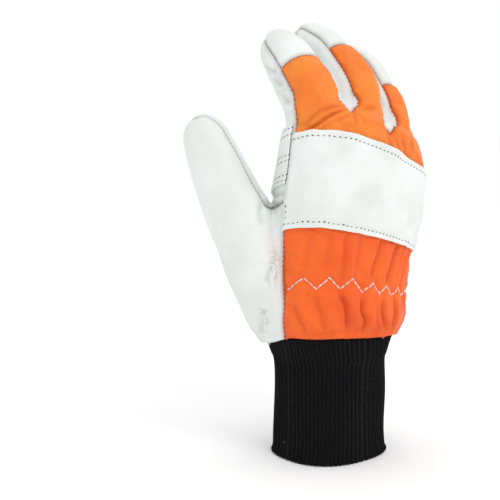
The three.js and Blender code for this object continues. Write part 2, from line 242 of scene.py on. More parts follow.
def panelsAt(points):  # which panel each point of the skin belongs to, by the seams' plan
    up, angle, outside = handPlace(points)
    hand = handFrames(up)
    long = handForm["handLength"]
    plan = seamPlan
    fields = {name: np.full(len(points), -1.0) for name in panelNames}
    hem = hemWave["depth"] * np.sin(np.radians(angle) * hemWave["waves"])
    hem = (hem + np.interp(angle, *np.array(hemWave["rise"], float).T)) / long
    fields["below"] = (hem - up) * long
    back = wedge(hand, points, *plan["back"])
    back = least(back, (plan["knuckles"] - up) * long, plan["onHand"] - outside)
    fingers = {}
    for name in fingerNames:
        at, _, away, frames = fingerPlace(name, points)
        middle = 270 + fingerRow(name)["facing"]
        onFinger = np.where(np.abs(away) < plan["onFinger"], 1e3, -1.0)
        fingers[name] = at, frames, onFinger
        panel = wedge(frames, points, middle - plan["fingerBack"], middle + plan["fingerBack"])
        panel = np.minimum(panel, onFinger)
        length, tipAt = fingerRow(name)["length"], fingerRow(name)["tipAt"]
        back = np.maximum(back, least(panel, (tipAt - at) * length, at * length))
        fields["tip_" + name] = np.minimum(panel, (at - tipAt) * length)
    for first, second in zip(fingerNames, fingerNames[1:]):
        inside = np.full(len(points), -1.0)
        start = plan["lastGussetFrom"] if second == "little" else plan["gusset"][0]
        for name, low, high in ((first, -plan["gussetBack"], plan["gussetPalm"]),
                                (second, 180 - plan["gussetPalm"], 180 + plan["gussetBack"])):
            at, frames, onFinger = fingers[name]
            length = fingerRow(name)["length"]
            side = least(wedge(frames, points, low, high), onFinger,
                         (at - start) * length, (plan["gusset"][1] - at) * length)
            inside = np.maximum(inside, side)
        fields["gusset_" + first + "_" + second] = inside
    fields["back_fabric"] = back
    _, _, away, frames = fingerPlace("thumb", points)
    thumb = wedge(frames, points, plan["thumb"], plan["thumb"] + 180)
    thumb = np.minimum(thumb, plan["onFinger"] - np.abs(away))
    side = np.minimum(wedge(hand, points, plan["palm"], plan["back"][0] + 4), (plan["web"] - up) * long)
    fields["thumb_leather"] = np.maximum(thumb, side)
    label = np.zeros(len(points), int)
    for i in range(len(panelNames) - 1, 0, -1):
        label[fields[panelNames[i]] > 0] = i
    spots = pixelsOf(points)
    for name, crotch in crotches.items():
        table, own = crotchTables[name], panelNames.index(name)
        free = (label == panelNames.index("back_fabric")) | (label == panelNames.index("palm_leather"))
        away = np.linalg.norm(points - crotch["end"], axis=1)
        label[free & insideOutline(spots, table["outline"]) & (away < table["reach"])] = own
        if "above" in crotch:  # joins the drawn end to the strip above it
            close = np.where(free & (away < table["reach"] + crotchMargins["bridge"]))[0]
            gap = np.array([crotch["above"].find(p)[2] + crotch["drawn"].find(p)[2] for p in points[close]])
            label[close[gap < table["bridge"]]] = own
    return label


hemWave = {  # the hem's waves, and how far it rises over an even one at each angle, in millimetres
    "depth": 0.3, "waves": 5,
    "rise": [(0, 0), (130, 0), (165, -1.2), (178, 0), (187, 2.6), (200, 1.8), (222, 0.2), (360, 0)],
}
crotchTables = {  # where the leather between two fingers runs out in a point, in the photograph's frame
    "gusset_index_middle": {
        "outline": [(338, 86), (343.3, 100), (346.7, 106.7), (351.7, 113), (354.8, 106.7), (355, 98),
                    (353, 86)],
        "line": [(350, 96), (351.5, 104), (352, 112)], "reach": 14, "width": 2.6, "sink": 1.3, "bridge": 6.5},
    "gusset_middle_ring": {
        "outline": [(383, 104), (384.5, 118), (386.5, 127), (390.8, 135.5), (394.8, 127), (395.5, 118),
                    (394, 104)],
        "line": [(389, 112), (390, 122), (391, 134)], "reach": 16, "width": 2.8, "sink": 1.6, "bridge": 9.5},
}

crotchMargins = {"bridge": 8, "trees": 12}  # millimetres beyond the reach
crotches = {}  # where each one ends on the skin, and search trees of its two parts


def pointTree(spots):
    tree = KDTree(len(spots))
    for i, spot in enumerate(spots):
        tree.insert(spot, i)
    tree.balance()
    return tree


def loftMesh(rings):  # one closed mesh from rings of points
    count, sides = len(rings), len(rings[0])
    points = [tuple(p) for ring in rings for p in ring]
    faces = []
    for low in range(0, (count - 1) * sides, sides):
        for i in range(sides):
            j = (i + 1) % sides
            faces.append((low + i, low + j, low + sides + j, low + sides + i))
    faces.append(tuple(reversed(range(sides))))
    faces.append(tuple(range((count - 1) * sides, count * sides)))
    return points, faces


def newPiece(name, points, faces):
    mesh = bpy.data.meshes.new(name)
    mesh.from_pydata((np.asarray(points) * mm).tolist(), [], [list(map(int, f)) for f in faces])
    piece = bpy.data.objects.new(name, mesh)
    bpy.context.collection.objects.link(piece)
    mesh.polygons.foreach_set("use_smooth", [True] * len(mesh.polygons))
    return piece


def meshPoints(mesh):  # in millimetres
    values = np.empty(len(mesh.vertices) * 3)
    mesh.vertices.foreach_get("co", values)
    return values.reshape(-1, 3) / mm


def applyModifier(piece, name, kind, **settings):
    bpy.ops.object.select_all(action="DESELECT")
    piece.select_set(True)
    bpy.context.view_layer.objects.active = piece
    modifier = piece.modifiers.new(name, kind)
    for key, value in settings.items():
        setattr(modifier, key, value)
    bpy.ops.object.modifier_apply(modifier=name)
    piece.select_set(False)


skinSettings = {
    "voxel": 1.15, "sides": 64, "smooth": 14, "strength": 0.5, "halvings": 7,
    "seamRounds": 5, "hemRounds": 12, "hemRoundsAfter": 24,
    "uneven": [(26, 5, 0.35), (11, 8, 0.12)],  # size, seed and height
}


def ringOf(frames):  # a section's outline, as one ring of points
    sides = skinSettings["sides"]
    return pointsOn(repeated(frames, sides), (np.arange(sides) + 0.5) * 360 / sides)


def makeSkin():  # the hand and the fingers joined into one skin
    lofts = [[ringOf(handFrames(up)) for up in np.linspace(-0.04, 1, 40)]]
    stations = np.concatenate([np.linspace(0, 0.84, 36), 0.84 + 0.16 * np.sin(np.linspace(0.1, 1.5, 12))])
    for name in fingerNames + ["thumb"]:
        lofts.append([ringOf(fingerFrames(name, at)) for at in stations])
    points, faces = [], []
    for rings in lofts:
        ringPoints, ringFaces = loftMesh(rings)
        faces += [tuple(i + len(points) for i in face) for face in ringFaces]
        points += ringPoints
    skin = newPiece("skin", points, faces)
    applyModifier(skin, "remesh", "REMESH", mode="VOXEL", voxel_size=skinSettings["voxel"] * mm)
    applyModifier(skin, "smooth", "SMOOTH", factor=skinSettings["strength"],
                  iterations=skinSettings["smooth"])
    applyModifier(skin, "triangles", "TRIANGULATE", quad_method="SHORTEST_DIAGONAL")
    points = meshPoints(skin.data)
    faces = np.empty(len(skin.data.polygons) * 3, int)
    skin.data.polygons.foreach_get("vertices", faces)
    bpy.data.objects.remove(skin)
    return points, faces.reshape(-1, 3)


viewSettings = {"target": (-35.2, 29.6, 117), "away": 650, "azimuth": -40, "elevation": 8,
                "focal": 1140, "frame": 500, "sensor": 36}


def cameraAxes():
    a, e = math.radians(viewSettings["azimuth"]), math.radians(viewSettings["elevation"])
    back = np.array([math.sin(a) * math.cos(e), -math.cos(a) * math.cos(e), math.sin(e)])
    right = np.array([math.cos(a), math.sin(a), 0.0])
    return right, np.cross(back, right), back


def placeCamera():
    right, up, back = cameraAxes()
    data = bpy.data.cameras.new("camera")
    data.sensor_width = viewSettings["sensor"]
    data.lens = viewSettings["focal"] / viewSettings["frame"] * viewSettings["sensor"]
    data.clip_start = 0.01
    camera = bpy.data.objects.new("camera", data)
    bpy.context.collection.objects.link(camera)
    camera.location = (np.array(viewSettings["target"]) + viewSettings["away"] * back) * mm
    camera.rotation_euler = Vector(back).to_track_quat("Z", "Y").to_euler()
    bpy.context.scene.camera = camera


def edgesOf(faces):
    return np.concatenate([faces[:, [0, 1]], faces[:, [1, 2]], faces[:, [2, 0]]])


def cutSkin(points, faces):  # moves the skin's points onto the seams, so each panel ends cleanly
    labels = panelsAt(points)
    edges = np.unique(np.sort(edgesOf(faces), 1), axis=0)

    crossing = edges[labels[edges[:, 0]] != labels[edges[:, 1]]]
    low, high = np.zeros(len(crossing)), np.ones(len(crossing))
    first, second = points[crossing[:, 0]], points[crossing[:, 1]]
    for _ in range(skinSettings["halvings"]):
        middle = (low + high) / 2
        same = panelsAt(first + (second - first) * middle[:, None]) == labels[crossing[:, 0]]
        low, high = np.where(same, middle, low), np.where(same, high, middle)
    at = (low + high) / 2
    spot = first + (second - first) * at[:, None]
    near = np.where(at < 0.5, crossing[:, 0], crossing[:, 1])
    total, count = np.zeros_like(points), np.zeros(len(points))
    np.add.at(total, near, spot)
    np.add.at(count, near, 1)
    onSeam = count > 0
    points = points.copy()
    points[onSeam] = total[onSeam] / count[onSeam][:, None]
    faceLabels = panelsAt(points[faces].mean(1))
    for corner in range(3):
        free = ~onSeam[faces[:, corner]]
        faceLabels[free] = labels[faces[free, corner]]
    return points, faceLabels


def sharedEdges(faces, owners):  # the edges between faces of two owners, and which two
    edges, owner = np.sort(edgesOf(faces), 1), np.tile(owners, 3)
    order = np.lexsort((edges[:, 1], edges[:, 0]))
    edges, owner = edges[order], owner[order]
    two = (edges[1:] == edges[:-1]).all(1) & (owner[1:] != owner[:-1])
    return edges[1:][two], np.sort(np.stack([owner[1:][two], owner[:-1][two]], 1), 1)


def smoothSeams(points, edges, rounds):
    for _ in range(rounds):
        total, count = np.zeros_like(points), np.zeros(len(points))
        for a, b in ((0, 1), (1, 0)):
            np.add.at(total, edges[:, a], points[edges[:, b]])
            np.add.at(count, edges[:, a], 1)
        two = count == 2
        points = points.copy()
        points[two] = points[two] * 0.5 + total[two] / count[two][:, None] * 0.5
    return points


def nearestDistance(points, targets):
    tree = pointTree(targets)
    return np.array([tree.find(p)[2] for p in points])


def vertexNormals(points, faces):
    corner = points[faces]
    cross = np.cross(corner[:, 1] - corner[:, 0], corner[:, 2] - corner[:, 0])
    normals = np.zeros_like(points)
    for i in range(3):
        np.add.at(normals, faces[:, i], cross)
    return unit(normals)


foldTables = {  # each: points in the photograph's frame, depth and half width in millimetres
    "creases": [
        [[(305, 127), (311, 118), (319, 111.5), (331, 107), (345, 106)], 1.1, 1.1],
        [[(302, 132), (311, 128), (325, 119), (341.7, 110.8), (347, 109)], 1.2, 1.1],
        [[(337, 123), (344, 118.5), (349, 115)], 0.6, 1.1],
        [[(353, 114), (354, 119), (355, 127)], 0.7, 1.1],
        [[(357, 110.5), (367, 108.3), (378, 107.5)], 0.8, 1.1],
        [[(357, 113), (362, 120), (366, 127)], 0.5, 1.3],
        [[(388, 136), (388, 144), (388.5, 153)], 0.9, 1.2],
        [[(394, 137), (396, 148), (397, 160)], 0.8, 1.3],
        [[(410, 137), (409.5, 146), (411, 155)], 1.3, 1.3],
        [[(414, 152), (418, 162), (419, 172)], 0.9, 1.4],
        [[(400, 138), (403, 150), (406, 164)], 0.7, 1.6],
        [[(310, 232), (309, 245), (306, 262), (304, 275)], 0.4, 2.6],
        [[(329, 232), (328, 250), (325, 272)], 0.45, 2.6],
        [[(348, 233), (345, 250), (341, 287)], 0.9, 2.2],
        [[(362, 234), (360, 250), (354, 276)], 0.6, 2.2],
        [[(384, 236), (378, 254), (369, 281)], 1.1, 1.9],
        [[(399, 240), (392, 260), (384, 285)], 1.5, 1.6],
        [[(406, 252), (401, 270), (396, 290)], 1.2, 1.6],
        [[(293, 304), (298, 316), (303, 326), (305, 336)], 0.9, 1.9],
        [[(316, 294), (319, 310), (325, 332)], 0.7, 1.8],
        [[(340, 292), (345, 308), (348, 331)], 1.6, 1.6],
        [[(362, 296), (361, 310), (365, 322), (362, 332)], 1.8, 1.4],
        [[(381, 297), (381, 312), (385, 330)], 1.5, 1.5],
        [[(393, 299), (393, 314), (391, 330)], 1.4, 1.4],
        [[(272, 262), (268, 275), (271, 290)], 0.6, 1.4],
        [[(266, 308), (263, 322), (262, 336)], 0.7, 1.5],
        [[(279, 268), (276, 281), (277, 292)], 0.5, 1.3],
        [[(266, 66), (271, 71), (278, 72)], 1.3, 1.8],
        [[(274, 79), (279, 84), (284, 84)], 1.2, 1.8],
        [[(283, 98), (287, 103), (291, 103)], 0.9, 1.8],
        [[(270, 198), (278, 195), (287, 193)], 1.0, 1.7],
        [[(263, 204), (271, 207), (281, 206)], 0.8, 2.0],
        [[(262, 201), (259, 212), (262, 226)], 0.8, 2.2],
    ],
    "wrinkled": [
        [[(271, 246), (276, 258), (272, 270), (275, 282)], 1.0, 2.6],
        [[(265, 262), (269, 272), (266, 284)], 0.6, 3.0],
        [[(262, 306), (266, 318), (262, 334)], 0.9, 3.0],
        [[(268, 328), (276, 333)], 0.7, 2.4],
        [[(276, 62), (281, 84), (290, 104), (292, 122)], 0.5, 3.4],
        [[(272, 190), (276, 200), (270, 214)], 0.5, 3.0],
    ],
    "ridges": [
        [[(299, 124), (306, 114), (318, 105), (334, 101)], 0.7, 2.6],
        [[(318, 126), (332, 118), (343, 115)], 0.7, 2.0],
        [[(300, 336), (298, 322), (293, 306)], 0.6, 2.4],
        [[(334, 333), (331, 318), (329, 304)], 0.8, 2.6],
        [[(356, 331), (354, 318), (351, 304)], 0.9, 2.4],
        [[(373, 332), (373, 318), (371, 304)], 0.9, 2.4],
        [[(200, 160), (208, 190), (222, 225)], 0.5, 5.0],
    ],
}


def pixelRays(spots):  # rays from the camera through places in the photograph's frame
    right, up, back = cameraAxes()
    eye = np.array(viewSettings["target"], float) + viewSettings["away"] * back
    half = viewSettings["frame"] / 2
    spots = np.asarray(spots, float)
    x = (spots[:, 0] - half) / viewSettings["focal"]
    y = (half - spots[:, 1]) / viewSettings["focal"]
    ways = right * x[:, None] + up * y[:, None] - back
    return eye, unit(ways)


def pixelsOf(points):  # where points are seen in the photograph's frame
    right, up, back = cameraAxes()
    offset = points - np.array(viewSettings["target"], float) - viewSettings["away"] * back
    scale = viewSettings["focal"] / -(offset @ back)
    half = viewSettings["frame"] / 2
    return np.stack([half + scale * (offset @ right), half - scale * (offset @ up)], 1)


def insideOutline(spots, outline):
    inside = np.zeros(len(spots), bool)
    corners = np.array(outline, float)
    for a, b in zip(corners, np.roll(corners, -1, axis=0)):
        crosses = (a[1] > spots[:, 1]) != (b[1] > spots[:, 1])
        level = a[0] + (spots[:, 1] - a[1]) * (b[0] - a[0]) / (b[1] - a[1] + 1e-9)
        inside ^= crosses & (spots[:, 0] < level)
    return inside


def drawnLine(tree, corners, step=0.7):  # a line drawn on the photograph, laid on the skin
    corners = np.array(corners, float)
    lengths = lengthsAlong(corners)

    stations = np.linspace(0, lengths[-1], max(2, int(lengths[-1] / step)))
    spots = np.stack([np.interp(stations, lengths, corners[:, i]) for i in range(2)], 1)
    for _ in range(3):
        spots[1:-1] = (spots[:-2] + 2 * spots[1:-1] + spots[2:]) / 4
    eye, ways = pixelRays(spots)
    laid = []
    for at, way in zip(np.linspace(0, 1, len(ways)), ways):
        hit = tree.ray_cast(Vector(eye), Vector(way), 2000)
        if hit[0] is not None:
            laid.append((*hit[0], at))
    return np.array(laid)


foldSettings = {  # shares of a fold's width, but for the rim's height and the depth that is darkest
    "reach": 4.5, "darkest": 1.5, "shadeWidth": 0.7, "rim": 0.42, "rimAt": 2.2, "rimWidth": 1.3,
}


def foldRelief(points, faces):  # the height of the folds, their shade, and how wrinkled the skin is
    s = foldSettings
    skinTree = BVHTree.FromPolygons(points.tolist(), faces.tolist())
    relief, shade, wrinkled = (np.zeros(len(points)) for _ in range(3))
    for kind, sign in (("creases", -1), ("ridges", 1), ("wrinkled", 0)):
        for corners, depth, width in foldTables[kind]:
            laid = drawnLine(skinTree, corners)
            if len(laid) < 2:
                print("a fold missed the skin", corners)
                continue
            reach = width * s["reach"]
            low, high = laid[:, :3].min(0) - reach, laid[:, :3].max(0) + reach
            near = np.where(((points > low) & (points < high)).all(1))[0]
            distance = np.linalg.norm(points[near][:, None] - laid[None, :, :3], axis=2)
            at = laid[distance.argmin(1), 3]
            away = distance.min(1)
            fade = np.clip(np.minimum(at, 1 - at) * 5 + 0.15, 0, 1)
            shape = fall(away, width)
            if kind == "wrinkled":
                wrinkled[near] = np.maximum(wrinkled[near], depth * fade * shape)
            if kind == "creases":
                dark = min(depth / s["darkest"], 1) * fade * fall(away, s["shadeWidth"] * width)
                shade[near] = np.maximum(shade[near], dark)
                shape = shape - s["rim"] * fall(away - s["rimAt"] * width, s["rimWidth"] * width)
            relief[near] += sign * depth * fade * shape
    return relief, shade, wrinkled


seamSettings = {"valley": 1.0, "valleyWidth": 1.3, "pillow": 0.7, "pillowReach": 7.0}
gatherSettings = {
    "zigzag": [(3.1, 0.222), (12.9, 0.258), (19.5, 0.216), (26.9, 0.256), (32.9, 0.215), (40.8, 0.253),
               (47.7, 0.204), (55.6, 0.242), (60.6, 0.198), (66.6, 0.233), (72.6, 0.192)],
    "zigzagStep": 6.6, "zigzagEnds": (0.192, 0.231), "zigzagUp": 0.24,
    "pinch": 1.2, "pinchWidth": 1.8,
    "hemDraw": 1.3, "hemReach": 6.0, "pleat": 0.4, "pleatPeriod": 13.0, "ripple": 0.42, "ripplePeriod": 7.9,
    "under": 0.19, "over": 0.07, "edge": 4, "skinDeep": 5, "slant": 0.75,
}


def backAngles(count=400):  # angles over the back at the zigzag's height, and the length up to each
    angles = np.linspace(*seamPlan["back"], count)
    ring = pointsOn(repeated(handFrames(gatherSettings["zigzagUp"]), count), angles)
    return angles, lengthsAlong(ring)


def zigzagUp(along):  # how high up the hand the elastic zigzag runs, by the length along the back
    turns = list(gatherSettings["zigzag"])
    low, high = gatherSettings["zigzagEnds"]
    for up in [high, low] * 8:
        turns.append((turns[-1][0] + gatherSettings["zigzagStep"], up))
    return np.interp(along, *np.array(turns).T)


def gatherRelief(points):  # the elastic zigzag pulls the back in, and the hem is drawn in over the cuff
    up, angle, outside = handPlace(points)
    long = handForm["handLength"]
    angles, lengths = backAngles()
    along = np.interp(angle, angles, lengths)
    first, last = seamPlan["back"]
    g = gatherSettings
    onBack = np.clip((angle - first) / g["edge"], 0, 1) * np.clip((last - angle) / g["edge"], 0, 1)
    onBack *= np.abs(outside) < g["skinDeep"]
    toZigzag = np.abs(up - zigzagUp(along)) * long * g["slant"]
    relief = -g["pinch"] * fall(toZigzag, g["pinchWidth"]) * onBack
    waves = (np.sin(2 * math.pi * along / g["pleatPeriod"] + 0.7 * np.sin(along / 9) + up * 9)
             + 0.5 * np.sin(2 * math.pi * along / g["ripplePeriod"] + 1.3 + up * 14))
    above = up - g["zigzagUp"]
    around = fall(np.clip(-above, 0, 1), g["under"]) * fall(np.clip(above, 0, 1), g["over"])
    stronger = 0.45 + 0.55 * np.clip(along / lengths[-1] * 1.3, 0, 1) + 0.25 * np.sin(along / 7.3 + 1)
    relief += g["ripple"] * waves * around * onBack * stronger
    nearHem = fall(np.clip(up, 0, 1) * long, g["hemReach"])
    pleats = np.sin(2 * math.pi * along / g["pleatPeriod"] + 1.6 * np.sin(along / 15) + 0.5)
    relief -= nearHem * (g["hemDraw"] + onBack * g["pleat"] * pleats)
    return relief


def softNoise(points, size, seed):  # smooth seeded unevenness, about one bump to each size
    rng = np.random.default_rng(seed)
    total = np.zeros(len(points))
    for _ in range(9):
        way = rng.normal(size=3)
        way /= np.linalg.norm(way)
        bend = rng.normal(size=3) / size * 0.8
        total += np.sin(points @ way * 2 * math.pi / size * rng.uniform(0.6, 1.2)
                        + np.sin(points @ bend) * 1.5 + rng.uniform(0, 6.28))
    return total / 4


clothSettings = {
    "frames": 14, "cap": 2.6, "pinNear": 1.3, "pinZigzag": 1.2,
    "modifier": {
        "vertex_group_mass": "sewn", "quality": 4, "mass": 0.15, "tension_stiffness": 12,
        "compression_stiffness": 12, "shear_stiffness": 4, "bending_stiffness": 0.35, "pin_stiffness": 1,
        "shrink_min": -0.035, "use_pressure": True, "uniform_pressure_force": 1.2},
}


def relaxBack(points, faces, faceLabels, pinned):  # the back's fabric as cloth, sewn along its seams
    mine = faces[faceLabels == panelNames.index("back_fabric")]
    used, local = np.unique(mine, return_inverse=True)
    cloth = newPiece("back_cloth_run", points[used], local.reshape(-1, 3))
    group = cloth.vertex_groups.new(name="sewn")
    for i, weight in enumerate(pinned[used]):
        if weight > 0.01:
            group.add([i], float(min(weight, 1)), "REPLACE")
    modifier = cloth.modifiers.new("cloth", "CLOTH")
    for key, value in clothSettings["modifier"].items():
        setattr(modifier.settings, key, value)
    modifier.settings.effector_weights.gravity = 0
    modifier.collision_settings.use_collision = False
    modifier.point_cache.frame_start = 1
    modifier.point_cache.frame_end = clothSettings["frames"]
    scene = bpy.context.scene
    for f in range(1, clothSettings["frames"] + 1):
        scene.frame_set(f)
    moved = meshPoints(cloth.evaluated_get(bpy.context.evaluated_depsgraph_get()).data)
    scene.frame_set(1)
    bpy.data.objects.remove(cloth)
    shift = moved - points[used]
    far = np.linalg.norm(shift, axis=1)
    shift *= np.minimum(1, clothSettings["cap"] / np.maximum(far, 1e-6))[:, None]
    print("the cloth moved", round(float(far.mean()), 2), "mm on average and",
          round(float(far.max()), 2), "at most")
    points = points.copy()
    points[used] += shift
    return points


print("skin")
points, faces = makeSkin()
firstTree = BVHTree.FromPolygons(points.tolist(), faces.tolist())
ends = {}
for name, table in crotchTables.items():
    laid = drawnLine(firstTree, table["line"])[:, :3]
    ends[name] = laid[-1]
    away = np.linalg.norm(points[:, None] - laid[None], axis=2).min(1)
    points = points - vertexNormals(points, faces) * (table["sink"] * fall(away, table["width"]))[:, None]
plain = panelsAt(points)
crotches.update({name: {"end": end} for name, end in ends.items()})
drawn = panelsAt(points)
for name, crotch in crotches.items():
    own = panelNames.index(name)
    reach = crotchTables[name]["reach"] + crotchMargins["trees"]
    close = np.linalg.norm(points - crotch["end"], axis=1) < reach
    crotch["above"] = pointTree(points[close & (plain == own)])
    crotch["drawn"] = pointTree(points[close & (drawn == own) & (plain != own)])
points, faceLabels = cutSkin(points, faces)
seams, sides = sharedEdges(faces, faceLabels)
below = panelNames.index("below")
hemEdges = seams[(sides == below).any(1)]
sewnEdges = seams[(sides != below).all(1)]
points = smoothSeams(points, seams, skinSettings["seamRounds"])
print("skin has", len(points), "points and", len(faces), "faces, and", len(seams), "seam edges")

print("seams, folds and gathers")
seamPoints = np.concatenate([points[sewnEdges[:, 0]] * (1 - t) + points[sewnEdges[:, 1]] * t
                             for t in (0, 0.25, 0.5, 0.75)])
toSeam = nearestDistance(points, seamPoints)
toHem = nearestDistance(points, points[np.unique(hemEdges)])
folds, foldShade, wrinkled = foldRelief(points, faces)
relief = (-seamSettings["valley"] * fall(toSeam, seamSettings["valleyWidth"])
          + seamSettings["pillow"] * (1 - fall(toSeam, seamSettings["pillowReach"])))
relief += folds + gatherRelief(points)
for size, seed, height in skinSettings["uneven"]:
    relief += softNoise(points, size, seed) * height
points = points + vertexNormals(points, faces) * relief[:, None]
points = smoothSeams(points, hemEdges, skinSettings["hemRounds"])

print("cloth")
skinUp, skinAngle, _ = handPlace(points)
angles, lengths = backAngles()
toZigzag = np.abs(skinUp - zigzagUp(np.interp(skinAngle, angles, lengths))) * handForm["handLength"]
pinned = (fall(np.minimum(toSeam, toHem), clothSettings["pinNear"])
          + fall(toZigzag, clothSettings["pinZigzag"]))
points = relaxBack(points, faces, faceLabels, pinned)

points = smoothSeams(points, hemEdges, skinSettings["hemRoundsAfter"])
skinTree = BVHTree.FromPolygons(points.tolist(), faces.tolist())
skinNormals = vertexNormals(points, faces)

panelSettings = {"thickness": 2.0, "seamShade": 1.4}


def thicken(piece, thickness):  # inwards
    applyModifier(piece, "thickness", "SOLIDIFY", thickness=thickness * mm, offset=-1.0)


def standIn(piece, name):  # puts a piece in its node's place
    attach(piece, "root")
    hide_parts(name)


def makePanel(name):
    mine = faces[faceLabels == panelNames.index(name)]
    used, local = np.unique(mine, return_inverse=True)
    piece = newPiece(name + "_cloth", points[used], local.reshape(-1, 3))
    # the seam attribute: darker along the seams, partly grime and partly painted shade, and painted shade in
    # the fold creases
    dark = np.maximum(fall(toSeam, panelSettings["seamShade"]), foldShade)
    for key, values in (("seam", dark), ("wrinkled", wrinkled)):
        attribute = piece.data.attributes.new(key, "FLOAT", "POINT")
        attribute.data.foreach_set("value", values[used].astype(np.float32))
    thicken(piece, panelSettings["thickness"])
    standIn(piece, name)
    return piece


print("panels")
panels = {name: makePanel(name) for name in panelNames if name != "below"}

bandSettings = {
    "knuckle_strap": {"angles": (182, 353), "ups": (0.43, 0.82), "columns": 170, "rows": 60, "from": 14,
                      "stitched": (2.8, -2.8), "column": (4, 15, 5)},
    "palm_patch": {"angles": (-4, 181), "ups": (0.62, 0.87), "columns": 180, "rows": 44, "from": 6,
                   "stitched": (1.8, 4.6, 12.2, 14.8, -5.2, -1.6)},
    "gap": 0.3, "thickness": 1.4, "sunk": 0.45, "sunkWidth": 0.9, "edge": 0.45, "smooth": 20,
}


def layOnSkin(up, angle, away=14):  # a point on the skin, and the way out of it
    frames = handFrames(up)
    start = pointsOn(frames, angle)
    out = unit(start - frames["origin"])
    spots = []
    for p, d in zip(start + out * away, out):
        hit = skinTree.ray_cast(Vector(p), Vector(-d), 40)
        spots.append(hit[0] if hit[0] is not None else Vector(p - d * away))
    return np.array(spots), out


def makeBand(name):  # a band over the skin, and the lines along which it is stitched
    band, shared = bandSettings[name], bandSettings
    columns, rows = band["columns"], band["rows"]
    angle, up = np.meshgrid(np.linspace(*band["angles"], columns), np.linspace(*band["ups"], rows))
    spots, out = layOnSkin(up.ravel(), angle.ravel(), band["from"])
    base, out = spots.reshape(rows, columns, 3), out.reshape(rows, columns, 3)
    grid = base.copy()
    for _ in range(shared["smooth"]):
        middle = grid.copy()
        middle[1:-1, 1:-1] = (grid[:-2, 1:-1] + grid[2:, 1:-1] + grid[1:-1, :-2] + grid[1:-1, 2:]) / 4
        for row in (0, -1):
            middle[row, 1:-1] = (grid[row, :-2] + grid[row, 2:]) / 2
        sunk = np.einsum("ijk,ijk->ij", base - middle, out)
        grid = middle + out * np.maximum(sunk, 0)[..., None]
    height = (band["ups"][1] - band["ups"][0]) * handForm["handLength"]
    places = [place if place > 0 else height + place for place in band["stitched"]]
    wells = sum(fall(np.linspace(0, height, rows) - place, shared["sunkWidth"]) for place in places)
    outer = grid + out * (shared["gap"] + shared["thickness"] - shared["sunk"] * wells)[:, None, None]
    cells = [(i, i + 1, i + columns + 1, i + columns)
             for i in range((rows - 1) * columns) if (i + 1) % columns]
    piece = newPiece(name + "_band", outer.reshape(-1, 3), cells)
    thicken(piece, shared["thickness"])
    applyModifier(piece, "edge", "BEVEL", width=shared["edge"] * mm, segments=2, limit_method="ANGLE",
                  angle_limit=0.9)
    piece.data.polygons.foreach_set("use_smooth", [True] * len(piece.data.polygons))
    standIn(piece, name)
    stitched = []
    for place in places:
        at = place / height * (rows - 1)
        low = int(at)
        spots = outer[low] * (1 - at + low) + outer[min(low + 1, rows - 1)] * (at - low)
        stitched.append((spots, out[low]))
    if "column" in band:
        first, last, column = band["column"]
        stitched.append((outer[first:last, column], out[first:last, column]))
    return piece, stitched


print("bands")
strap, strapLines = makeBand("knuckle_strap")
patch, patchLines = makeBand("palm_patch")

stitchSettings = {  # in millimetres, turned in radians; a ring is its place along the stitch, size and lift
    "rings": [(0.5, 0.35, -0.15), (0.3, 0.95, 0.25), (-0.3, 0.95, 0.25), (-0.5, 0.35, -0.15)], "corners": 6,
    "holeShadeRings": [(1.0, -0.12), (0.55, 0.10)], "holeCorners": 8, "hole": 0.42, "holeStretch": 1.5,
    "near": 0.6, "shortest": 6, "rounds": 4,
    "band": {"pitch": 2.9, "length": 2.0, "thick": 0.5, "turned": 0.0},
    "zigzag": {"pitch": 3.392, "length": 3.2, "thick": 0.36, "turned": 0.0},
    "leatherSeam": {"pitch": 2.4, "length": 1.5, "thick": 0.42, "turned": 0.0},
    "backSeam": {"pitch": 2.6, "length": 1.7, "thick": 0.5, "turned": 0.9},
}


def alongLine(spots, outs, pitch):  # evenly spaced places along a line on the surface
    lengths = lengthsAlong(spots)
    count = max(1, int(lengths[-1] / pitch))
    stations = (np.arange(count) + 0.5) * lengths[-1] / count

    def at(values, s):
        return np.stack([np.interp(s, lengths, values[:, i]) for i in range(3)], 1)
    near = stitchSettings["near"]
    ahead = unit(at(spots, stations + near) - at(spots, stations - near))
    out = at(outs, stations)
    return at(spots, stations), ahead, unit(out - ahead * dots(out, ahead)[:, None])


def circle(corners):
    return [(math.cos(turn), math.sin(turn)) for turn in np.arange(corners) * 2 * math.pi / corners]


def stitchRings(centre, ahead, out, stitch):
    side, turned, thick = np.cross(out, ahead), stitch["turned"], stitch["thick"]
    along = (ahead * math.cos(turned) + side * math.sin(turned)) * stitch["length"]
    side = side * math.cos(turned) - ahead * math.sin(turned)
    return [[centre + along * at + out * lift * thick + (side * x + out * y) * thick / 2 * size
             for x, y in circle(stitchSettings["corners"])] for at, size, lift in stitchSettings["rings"]]


def holeShadeRings(centre, ahead, out, stitch):  # a dark disc painted as the shade in a needle hole, halfway to the next stitch
    s = stitchSettings
    centre = centre + ahead * stitch["pitch"] / 2
    ahead, side = ahead * s["hole"] * s["holeStretch"], np.cross(out, ahead) * s["hole"]
    return [[centre + (ahead * x + side * y) * ring + out * lift for x, y in circle(s["holeCorners"])]
            for ring, lift in s["holeShadeRings"]]


def makeStitches(name, stitched, kind, material, ringsOf=stitchRings):
    stitch = stitchSettings[kind]
    points, cells = [], []
    for spots, outs in stitched:
        for centre, ahead, out in zip(*alongLine(spots, outs, stitch["pitch"])):
            ringPoints, ringCells = loftMesh(ringsOf(centre, ahead, out, stitch))
            cells += [tuple(i + len(points) for i in cell) for cell in ringCells]
            points += ringPoints
    piece = newPiece(name, points, cells)
    piece.data.materials.append(material)
    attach(piece, "root")
    return piece


